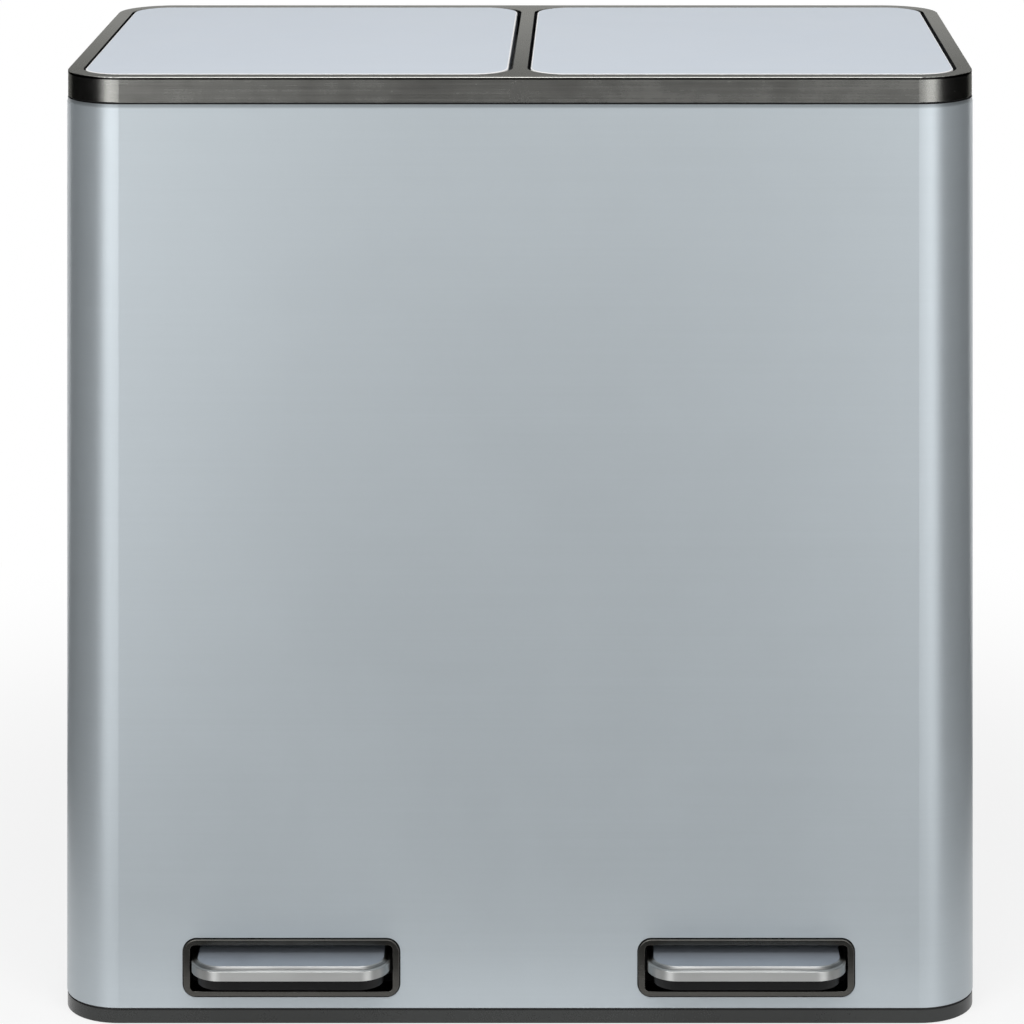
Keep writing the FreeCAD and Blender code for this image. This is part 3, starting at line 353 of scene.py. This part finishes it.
def satin_paint(name, colour, wear, stretch, edge_share, edge_tone, drawn_out):
    """Satin metallic paint over brushed sheet steel: faint lines, soft smudges, rubbed edges, painted shade
    under the rim and in the gap above the base, and a painted highlight along the lids' front edge.
    """
    material, graph, shader = new_material(name)
    lines = effect(graph, "Brush lines", "Lines", Stretch=stretch, Unevenness=0.6)
    smudge = effect(graph, "Smudges", "Smudge", Scale=4.0, Amount=wear.smudges * 0.5)
    edge = effect(graph, "Rubbed edges", "Edge", Width=0.0012, Amount=wear.rubbing * edge_share)
    dust = effect(graph, "Settled dust", "Dust", Amount=wear.dust)
    # painted shade on the body's top strip under the rim
    hem = strip_at(graph, BODY_HEM, 0.0018)
    # painted shade, near black, in the gap above the base
    seam = strip_at(graph, BASE_SEAM)
    # painted highlight along the lids' rounded front edge
    rolled = strip_at(graph, LID_EDGE, 0.00005)
    brushed = graph.blend(lines, opaque(toned(colour, 0.97)), opaque(toned(colour, 1.03)))
    # edge lightening from rubbed wear; on the lids, with their larger share and tone, it is also a painted
    # highlight
    rubbed = graph.blend(edge, brushed, opaque(toned(colour, edge_tone)))
    shaded = graph.blend(hem, rubbed, opaque(toned(colour, 0.55)))
    seam_shaded = graph.blend(seam, shaded, opaque(toned(colour, 0.06)))
    lit = graph.blend(rolled, seam_shaded, opaque(toned(colour, 2.0)))
    graph.feed(shader.inputs["Base Color"], graph.blend(dust, lit, opaque((0.62, 0.61, 0.58))))
    gloss = graph.calculate("ADD", graph.spread(lines, 0.38, 0.46), smudge)
    graph.feed(shader.inputs["Roughness"], gloss)
    graph.feed(shader.inputs["Normal"], bumped(graph, lines, wear.brushing, 0.00004))
    shader.inputs["Metallic"].default_value = 0.5
    shader.inputs["Anisotropic"].default_value = drawn_out
    shader.inputs["Anisotropic Rotation"].default_value = 0.25
    shader.inputs["Coat Weight"].default_value = 0.12
    shader.inputs["Coat Roughness"].default_value = 0.3
    return material


def dark_metal(name, colour, wear):
    """Dark bronze-grey metal, brushed along each side of a frame, with painted light that makes the rim's top
    paler at the rear, painted highlights along the rim's crest and foot, and painted shade in the rim's
    groove and along the bottom edge of the surrounds.
    """
    material, graph, shader = new_material(name)
    across = effect(graph, "Brush lines", "Lines", Stretch=(5.0, 900.0, 900.0), Unevenness=0.9)
    along = effect(graph, "Brush lines", "Lines", Stretch=(900.0, 5.0, 900.0), Unevenness=0.9)
    place = graph.node("ShaderNodeSeparateXYZ", {0: graph.places()})
    offset = graph.calculate("ABSOLUTE", place.outputs["X"])
    outer = graph.calculate("GREATER_THAN", offset, SIDE_STRIP_X)
    inner = graph.calculate("LESS_THAN", offset, DIVIDER_X)
    side = graph.calculate("MAXIMUM", outer, inner)
    lines = graph.node("ShaderNodeMix", {0: side, 2: across, 3: along}).outputs[0]
    smudge = effect(graph, "Smudges", "Smudge", Scale=11.0, Amount=wear.smudges)
    edge = effect(graph, "Rubbed edges", "Edge", Width=0.0009, Amount=wear.rubbing)
    stained = graph.calculate("MULTIPLY_ADD", smudge, 4.0, lines)
    brushed = graph.blend(stained, opaque(toned(colour, 0.80)), opaque(toned(colour, 1.20)))
    rubbed = graph.blend(edge, brushed, opaque(toned(colour, 2.6)))
    # painted light: the rim's top is painted paler towards the rear
    rearward = graph.node("ShaderNodeMapRange", {"Value": place.outputs["Y"], "From Min": REAR_LIGHT_Y[0],
                                                 "From Max": REAR_LIGHT_Y[1]}).outputs["Result"]
    rear_light = graph.calculate("MULTIPLY", strip_at(graph, RIM_TOP, 0.00005), rearward)
    rear_lit = graph.blend(rear_light, rubbed, opaque(toned(colour, 2.3)))
    # painted highlight along the rim's rounded top edge
    crest_lit = graph.blend(strip_at(graph, RIM_CREST), rear_lit, opaque(toned(colour, 2.3)))
    # painted highlight along the foot of the rim's band
    foot_lit = graph.blend(strip_at(graph, RIM_FOOT, 0.0004), crest_lit, opaque(toned(colour, 1.4)))
    # painted shade, near black, in the rim's groove and along the bottom edge of the surrounds
    dark = graph.calculate("MAXIMUM", strip_at(graph, RIM_GROOVE), strip_at(graph, SURROUND_FOOT))
    graph.feed(shader.inputs["Base Color"], graph.blend(dark, foot_lit, opaque(toned(colour, 0.06))))
    gloss = graph.calculate("ADD", graph.spread(lines, 0.21, 0.31), smudge)
    graph.feed(shader.inputs["Roughness"], gloss)
    graph.feed(shader.inputs["Normal"], bumped(graph, lines, wear.brushing, 0.00005))
    shader.inputs["Metallic"].default_value = 1.0
    shader.inputs["Specular Tint"].default_value = (0.36, 0.36, 0.35, 1.0)
    return material


def moulded_plastic(name, colour, wear, gloss, grain_scale, shine=0.5):
    """Moulded plastic with a fine grain, paler at rubbed edges and under dust, with a painted shade in the
    gap above the base.
    """
    material, graph, shader = new_material(name)
    grain = effect(graph, "Moulded grain", "Grain", Scale=grain_scale)
    smudge = effect(graph, "Smudges", "Smudge", Scale=9.0, Amount=wear.smudges)
    edge = effect(graph, "Rubbed edges", "Edge", Width=0.0015, Amount=wear.rubbing)
    dust = effect(graph, "Settled dust", "Dust", Amount=wear.dust)
    speckled = graph.blend(grain, opaque(toned(colour, 0.86)), opaque(toned(colour, 1.14)))
    rubbed = graph.blend(edge, speckled, opaque(toned(colour, 1.9)))
    # painted shade in the gap between the base band and the body
    seam_shaded = graph.blend(strip_at(graph, BASE_SEAM), rubbed, opaque(toned(colour, 0.15)))
    graph.feed(shader.inputs["Base Color"], graph.blend(dust, seam_shaded, opaque((0.45, 0.44, 0.42))))
    graph.feed(shader.inputs["Roughness"],
               graph.calculate("ADD", graph.spread(grain, gloss - 0.05, gloss + 0.05), smudge))
    graph.feed(shader.inputs["Normal"], bumped(graph, grain, wear.grain, 0.00006))
    shader.inputs["Specular IOR Level"].default_value = shine
    return material


def steel(name, colour, wear, gloss, stretch, contrast, bareness=1.0, drawn_out=0.0, slope_shade=1.0):
    """Steel with its lines along one direction; a bareness under 1 is a satin coat.

    Drawn out, its highlights stretch upwards across the lines. The slope beside a tread can carry a painted
    shade, a darker reflection painted into its colour.
    """
    material, graph, shader = new_material(name)
    lines = effect(graph, "Brush lines", "Lines", Stretch=stretch, Unevenness=0.7)
    smudge = effect(graph, "Smudges", "Smudge", Scale=30.0, Amount=wear.smudges)
    edge = effect(graph, "Rubbed edges", "Edge", Width=0.0006, Amount=wear.rubbing)
    brushed = graph.blend(lines, opaque(toned(colour, 1.0 - contrast)), opaque(toned(colour, 1.0 + contrast)))
    rubbed = graph.blend(edge, brushed, opaque(toned(colour, 1.3)))
    # painted shade: a darker reflection painted on the lip's slope
    if slope_shade < 1.0:
        rubbed = graph.blend(strip_at(graph, LIP_SLOPE, 0.0001), rubbed, opaque(toned(colour, slope_shade)))
    graph.feed(shader.inputs["Base Color"], rubbed)
    brushed_gloss = graph.spread(lines, gloss - contrast / 3.0, gloss + contrast / 3.0)
    graph.feed(shader.inputs["Roughness"], graph.calculate("ADD", brushed_gloss, smudge))
    graph.feed(shader.inputs["Normal"], bumped(graph, lines, wear.brushing * contrast * 4.0, 0.00003))
    shader.inputs["Metallic"].default_value = bareness
    shader.inputs["Anisotropic"].default_value = drawn_out
    shader.inputs["Anisotropic Rotation"].default_value = 0.25
    return material


def rubber(name, colour, wear):
    """Matt black rubber with a dusty bloom."""
    material, graph, shader = new_material(name)
    grain = effect(graph, "Moulded grain", "Grain", Scale=900.0)
    dust = effect(graph, "Settled dust", "Dust", Amount=wear.dust)
    bloom = graph.blend(grain, opaque(colour), opaque(toned(colour, 1.7)))
    graph.feed(shader.inputs["Base Color"], graph.blend(dust, bloom, opaque((0.3, 0.3, 0.29))))
    graph.feed(shader.inputs["Roughness"], graph.spread(grain, 0.7, 0.9))
    graph.feed(shader.inputs["Normal"], bumped(graph, grain, wear.grain, 0.00008))
    return material


def dress(names, material):
    """Give CAD nodes their material."""
    for name in names:
        node = NODES[name]
        if not node.material_slots:
            node.data.materials.append(material)
        for slot in node.material_slots:
            slot.material = material


def both(*endings):
    """The names of a left and a right node for each ending."""
    return [f"{side}_{ending}" for side in SIDES for ending in endings]


# ---------------------------------------------------------------- operators


class BIN_OT_paint_body(bpy.types.Operator):
    """Paint the steel body in satin metallic paint"""

    bl_idname = "recycling_bin.paint_body"
    bl_label = "Paint the body"

    def execute(self, context):
        scene = context.scene
        paint = satin_paint("Body paint", scene.bin_colours.body, scene.bin_wear,
                            stretch=(3.0, 3.0, 700.0), edge_share=1.0, edge_tone=1.35, drawn_out=0.65)
        dress(["outer_shell"], paint)
        return {"FINISHED"}


class BIN_OT_paint_lids(bpy.types.Operator):
    """Paint the two lid skins"""

    bl_idname = "recycling_bin.paint_lids"
    bl_label = "Paint the lids"

    def execute(self, context):
        scene = context.scene
        # the lids' strong edge lightening is partly rubbed wear and partly a painted highlight along their
        # edges
        paint = satin_paint("Lid paint", scene.bin_colours.lids, scene.bin_wear,
                            stretch=(3.0, 700.0, 700.0), edge_share=3.3, edge_tone=1.9, drawn_out=0.0)
        dress(both("lid_skin"), paint)
        return {"FINISHED"}


class BIN_OT_finish_rim(bpy.types.Operator):
    """Finish the rim and the pedal surrounds in dark brushed metal"""

    bl_idname = "recycling_bin.finish_rim"
    bl_label = "Finish the rim"

    def execute(self, context):
        scene = context.scene
        dress(["top_rim"], dark_metal("Rim metal", scene.bin_colours.rim, scene.bin_wear))
        dress(both("pedal_frame"), dark_metal("Surround metal", scene.bin_colours.surround, scene.bin_wear))
        return {"FINISHED"}


class BIN_OT_finish_base(bpy.types.Operator):
    """Finish the base in dark grey moulded plastic"""

    bl_idname = "recycling_bin.finish_base"
    bl_label = "Finish the base"

    def execute(self, context):
        scene = context.scene
        plastic = moulded_plastic("Base plastic", scene.bin_colours.base, scene.bin_wear,
                                  gloss=0.3, grain_scale=1500.0)
        dress(["base_tray"], plastic)
        return {"FINISHED"}


class BIN_OT_finish_pedals(bpy.types.Operator):
    """Finish the bright lips, the brushed treads and the cores of the pedals"""

    bl_idname = "recycling_bin.finish_pedals"
    bl_label = "Finish the pedals"

    def execute(self, context):
        colours = context.scene.bin_colours
        wear = context.scene.bin_wear
        bright = steel("Pedal bright metal", colours.bright, wear, gloss=0.44, stretch=(20.0, 20.0, 900.0),
                       contrast=0.04, drawn_out=0.9, slope_shade=0.55)
        tread = steel("Pedal tread steel", colours.tread, wear, gloss=0.48, stretch=(12.0, 1500.0, 1500.0),
                      contrast=0.12, bareness=0.4)
        core = moulded_plastic("Pedal core plastic", colours.core, wear, gloss=0.42, grain_scale=1600.0,
                               shine=0.25)
        dress(both("pedal_bezel"), bright)
        dress(both("pedal_plate"), tread)
        dress(both("pedal_core"), core)
        return {"FINISHED"}


class BIN_OT_finish_inside(bpy.types.Operator):
    """Finish the lid frame, the wells, the guides, the bearings and the liners"""

    bl_idname = "recycling_bin.finish_inside"
    bl_label = "Finish the inside"

    def execute(self, context):
        colours = context.scene.bin_colours
        wear = context.scene.bin_wear
        black = moulded_plastic("Inner black plastic", colours.inside, wear, gloss=0.5,
                                grain_scale=1200.0, shine=0.3)
        grey = moulded_plastic("Liner plastic", colours.liner, wear, gloss=0.46, grain_scale=1300.0)
        dress(["lid_frame"] + both("pedal_well", "rod_guides", "pedal_bearings"), black)
        dress(both("lid_liner"), grey)
        return {"FINISHED"}


class BIN_OT_finish_buckets(bpy.types.Operator):
    """Finish the two buckets in grey moulded plastic"""

    bl_idname = "recycling_bin.finish_buckets"
    bl_label = "Finish the buckets"

    def execute(self, context):
        scene = context.scene
        plastic = moulded_plastic("Bucket plastic", scene.bin_colours.bucket, scene.bin_wear,
                                  gloss=0.48, grain_scale=1100.0)
        dress(both("bucket"), plastic)
        return {"FINISHED"}


class BIN_OT_finish_mechanism(bpy.types.Operator):
    """Finish the plated levers, rods, cranks, pins, handles and screws"""

    bl_idname = "recycling_bin.finish_mechanism"
    bl_label = "Finish the mechanism"

    def execute(self, context):
        scene = context.scene
        plated = steel("Plated steel", scene.bin_colours.plated, scene.bin_wear,
                       gloss=0.3, stretch=(40.0, 40.0, 40.0), contrast=0.1)
        dress(["shell_screws"] + both("hinge_pins", "lid_crank", "crank_pin", "push_rod", "pedal_lever",
                                      "pedal_axle", "bucket_handle"), plated)
        return {"FINISHED"}


class BIN_OT_finish_rubber(bpy.types.Operator):
    """Finish the feet and the strips under the lids in rubber"""

    bl_idname = "recycling_bin.finish_rubber"
    bl_label = "Finish the rubber"

    def execute(self, context):
        scene = context.scene
        black = rubber("Black rubber", scene.bin_colours.rubber, scene.bin_wear)
        dress(["base_feet"] + both("lid_bumpers"), black)
        return {"FINISHED"}


# ---------------------------------------------------------------- the studio


def seen_directly(graph):
    """1 for camera, glossy and transmission rays, and 0 for the light that falls on the bin."""
    rays = graph.node("ShaderNodeLightPath").outputs
    sharp = graph.calculate("MAXIMUM", rays["Is Camera Ray"], rays["Is Glossy Ray"])
    return graph.calculate("MAXIMUM", sharp, rays["Is Transmission Ray"])


def white_world(scene, room_light):
    """A white room that gives a soft, even light."""
    world = bpy.data.worlds.new("Studio")
    world.use_nodes = True
    graph = Graph(world.node_tree)
    strength = graph.spread(seen_directly(graph), room_light, 1.0)
    background = world.node_tree.nodes["Background"]
    background.inputs["Color"].default_value = (1.0, 1.0, 1.0, 1.0)
    graph.feed(background.inputs["Strength"], strength)
    scene.world = world


def floor_material():
    """Pale paper that shows white in the picture and keeps a soft shadow."""
    material, graph, shader = new_material("Floor paper")
    fibres = graph.node("ShaderNodeTexNoise", {"Vector": graph.places(), "Scale": 300.0, "Detail": 2.0})
    graph.feed(shader.inputs["Base Color"],
               graph.blend(fibres.outputs["Fac"], (0.93, 0.93, 0.93, 1.0), (0.97, 0.97, 0.97, 1.0)))
    shader.inputs["Roughness"].default_value = 0.9
    paper = graph.node("ShaderNodeEmission", {"Color": (1.0, 1.0, 1.0, 1.0), "Strength": 1.0})
    shadow_radius, clear_radius, near_share = 0.35, 1.0, 0.8
    distance = graph.node("ShaderNodeVectorMath", {0: graph.places()}, operation="LENGTH").outputs["Value"]
    cleared = graph.node("ShaderNodeMapRange", {"Value": distance, "From Min": shadow_radius,
                                                "From Max": clear_radius, "To Min": near_share},
                         interpolation_type="SMOOTHSTEP").outputs["Result"]
    share = graph.calculate("MULTIPLY", seen_directly(graph), cleared)
    mixed = graph.node("ShaderNodeMixShader", {0: share, 1: shader.outputs[0], 2: paper.outputs[0]})
    output = material.node_tree.nodes["Material Output"]
    graph.feed(output.inputs["Surface"], mixed.outputs[0])
    return material


def pale_floor(radius):
    """A round floor under the bin."""
    mesh = bpy.data.meshes.new("floor")
    shape = bmesh.new()
    bmesh.ops.create_circle(shape, cap_ends=True, segments=96, radius=radius)
    shape.to_mesh(mesh)
    shape.free()
    floor = bpy.data.objects.new("floor", mesh)
    floor.location.z = -0.0002
    mesh.materials.append(floor_material())
    bpy.context.scene.collection.objects.link(floor)


def cloth_material(name, shade):
    """Matt woven cloth in a shade of grey."""
    material, graph, shader = new_material(name)
    weave = graph.node("ShaderNodeTexNoise", {"Vector": graph.places(), "Scale": 400.0})
    graph.feed(shader.inputs["Base Color"],
               graph.blend(weave.outputs["Fac"], opaque([0.8 * shade] * 3), opaque([1.2 * shade] * 3)))
    shader.inputs["Roughness"].default_value = 1.0
    return material


def reflected_cloth(name, first_edge, second_edge, cloth):
    """A strip of cloth between two rows of points that only shows as a reflection."""
    mesh = bpy.data.meshes.new(name)
    shape = bmesh.new()
    first = [shape.verts.new(point) for point in first_edge]
    second = [shape.verts.new(point) for point in second_edge]
    for step in range(len(first) - 1):
        shape.faces.new((first[step], first[step + 1], second[step + 1], second[step]))
    shape.to_mesh(mesh)
    shape.free()
    mesh.materials.append(cloth)
    strip = bpy.data.objects.new(name, mesh)
    strip.visible_camera = False
    strip.visible_diffuse = False
    strip.visible_shadow = False
    bpy.context.scene.collection.objects.link(strip)


def dark_screen(side, start, cloth):
    """A curved black screen beside the bin, with a mat of the same cloth before it."""
    radius, height, near_share, span, steps = 2.4, 2.4, 0.22, math.radians(78.0), 15
    sign = -1.0 if side == "left" else 1.0
    foot = []
    for step in range(steps + 1):
        turn = start + span * step / steps
        foot.append(Vector((sign * radius * math.sin(turn), -radius * math.cos(turn), 0.0005)))
    reflected_cloth(f"{side}_screen", foot, [point + Vector((0.0, 0.0, height)) for point in foot], cloth)
    near = [Vector((near_share * point.x, near_share * point.y, point.z)) for point in foot]
    reflected_cloth(f"{side}_mat", near, foot, cloth)


def floor_runner(cloth):
    """A grey runner on the floor in front of the bin, narrow in its middle."""
    outline = ((-0.24, 0.40), (-0.60, 0.36), (-0.90, 0.22), (-2.4, 0.46), (-4.4, 1.1))
    left = [(-half_width, y, 0.0005) for y, half_width in outline]
    right = [(half_width, y, 0.0005) for y, half_width in outline]
    reflected_cloth("front_runner", left, right, cloth)


def soft_lamp(name, place, target, width, height, power):
    """A rectangular lamp that faces a point."""
    data = bpy.data.lights.new(name, "AREA")
    data.shape = "RECTANGLE"
    data.size = width
    data.size_y = height
    data.energy = power
    lamp = bpy.data.objects.new(name, data)
    lamp.location = place
    lamp.rotation_euler = (Vector(target) - Vector(place)).to_track_quat("-Z", "Y").to_euler()
    lamp.visible_camera = False
    bpy.context.scene.collection.objects.link(lamp)


def upright_camera(scene, studio):
    """A camera that looks along the floor and sees the picture's lower part, as a view camera does.

    Its picture plane is upright, so the bin's vertical edges stay vertical while its top shows.
    """
    centre_u, centre_v, focal_pixels = 604.5, -523.6, 3780.0
    half_frame = 512.0
    middle = Vector(((half_frame - centre_u) / focal_pixels, 1.0, -(half_frame - centre_v) / focal_pixels))
    back = -middle.normalized()
    data = bpy.data.cameras.new("camera")
    data.sensor_width = 36.0
    data.lens = data.sensor_width * focal_pixels * middle.length / (2.0 * half_frame)
    data.clip_end = 60.0
    camera = bpy.data.objects.new("camera", data)
    stand = bpy.data.objects.new("camera_stand", None)
    scene.collection.objects.link(camera)
    scene.collection.objects.link(stand)
    camera.parent = stand
    camera.matrix_parent_inverse = Matrix(((1.0, 0.0, back.x, studio.camera_x),
                                           (0.0, 0.0, back.y, studio.camera_y),
                                           (0.0, 1.0, back.z, studio.camera_z),
                                           (0.0, 0.0, 0.0, 1.0)))
    scene.camera = camera


class BIN_OT_set_studio(bpy.types.Operator):
    """Set the floor, the lamps, the white room and the camera"""

    bl_idname = "recycling_bin.set_studio"
    bl_label = "Set the studio"

    def execute(self, context):
        scene = context.scene
        studio = scene.bin_studio
        white_world(scene, studio.room_light)
        pale_floor(studio.floor_radius)
        black_cloth = cloth_material("Black cloth", 0.025)
        dark_screen("left", studio.left_screen, black_cloth)
        dark_screen("right", studio.right_screen, black_cloth)
        floor_runner(cloth_material("Grey felt", 0.15))
        middle = (0.0, 0.0, 0.32)
        soft_lamp("overhead_lamp", (0.0, -1.1, 1.9), middle, 2.0, 0.9, studio.overhead_power)
        soft_lamp("left_lamp", (-1.165, -2.14, 0.85), middle, 0.92, 1.6, studio.left_power)
        soft_lamp("right_lamp", (1.28, -2.08, 0.85), middle, 0.95, 1.6, studio.right_power)
        soft_lamp("rear_lamp", (0.0, 2.3, 0.34), (0.0, 0.0, 0.3), 1.8, 0.5, studio.rear_power)
        upright_camera(scene, studio)
        scene.view_settings.view_transform = "Standard"
        return {"FINISHED"}


class BIN_PT_finishes(bpy.types.Panel):
    """The bin's finishes and studio in the sidebar"""

    bl_idname = "BIN_PT_finishes"
    bl_label = "Recycling Bin"
    bl_space_type = "VIEW_3D"
    bl_region_type = "UI"
    bl_category = "Recycling Bin"

    def draw(self, context):
        scene = context.scene
        for settings in (scene.bin_colours, scene.bin_wear, scene.bin_studio):
            box = self.layout.box()
            for name in settings.__annotations__:
                box.prop(settings, name)
        for operator in OPERATORS:
            self.layout.operator(operator.bl_idname)


# ---------------------------------------------------------------- running

SETTINGS = {"bin_colours": BinColours, "bin_wear": BinWear, "bin_studio": BinStudio}
OPERATORS = (
    BIN_OT_paint_body,
    BIN_OT_paint_lids,
    BIN_OT_finish_rim,
    BIN_OT_finish_base,
    BIN_OT_finish_pedals,
    BIN_OT_finish_inside,
    BIN_OT_finish_buckets,
    BIN_OT_finish_mechanism,
    BIN_OT_finish_rubber,
    BIN_OT_set_studio,
)


def register():
    """Make the settings, the operators and the panel known to Blender."""
    for name, settings in SETTINGS.items():
        bpy.utils.register_class(settings)
        setattr(bpy.types.Scene, name, bpy.props.PointerProperty(type=settings))
    for operator in OPERATORS:
        bpy.utils.register_class(operator)
    bpy.utils.register_class(BIN_PT_finishes)


def unregister():
    """Take them away again."""
    bpy.utils.unregister_class(BIN_PT_finishes)
    for operator in reversed(OPERATORS):
        bpy.utils.unregister_class(operator)
    for name, settings in reversed(SETTINGS.items()):
        delattr(bpy.types.Scene, name)
        bpy.utils.unregister_class(settings)


def main():
    """Dress the bin and set its studio."""
    register()
    bpy.ops.recycling_bin.paint_body()
    bpy.ops.recycling_bin.paint_lids()
    bpy.ops.recycling_bin.finish_rim()
    bpy.ops.recycling_bin.finish_base()
    bpy.ops.recycling_bin.finish_pedals()
    bpy.ops.recycling_bin.finish_inside()
    bpy.ops.recycling_bin.finish_buckets()
    bpy.ops.recycling_bin.finish_mechanism()
    bpy.ops.recycling_bin.finish_rubber()
    bpy.ops.recycling_bin.set_studio()


if __name__ == "__main__":
    main()
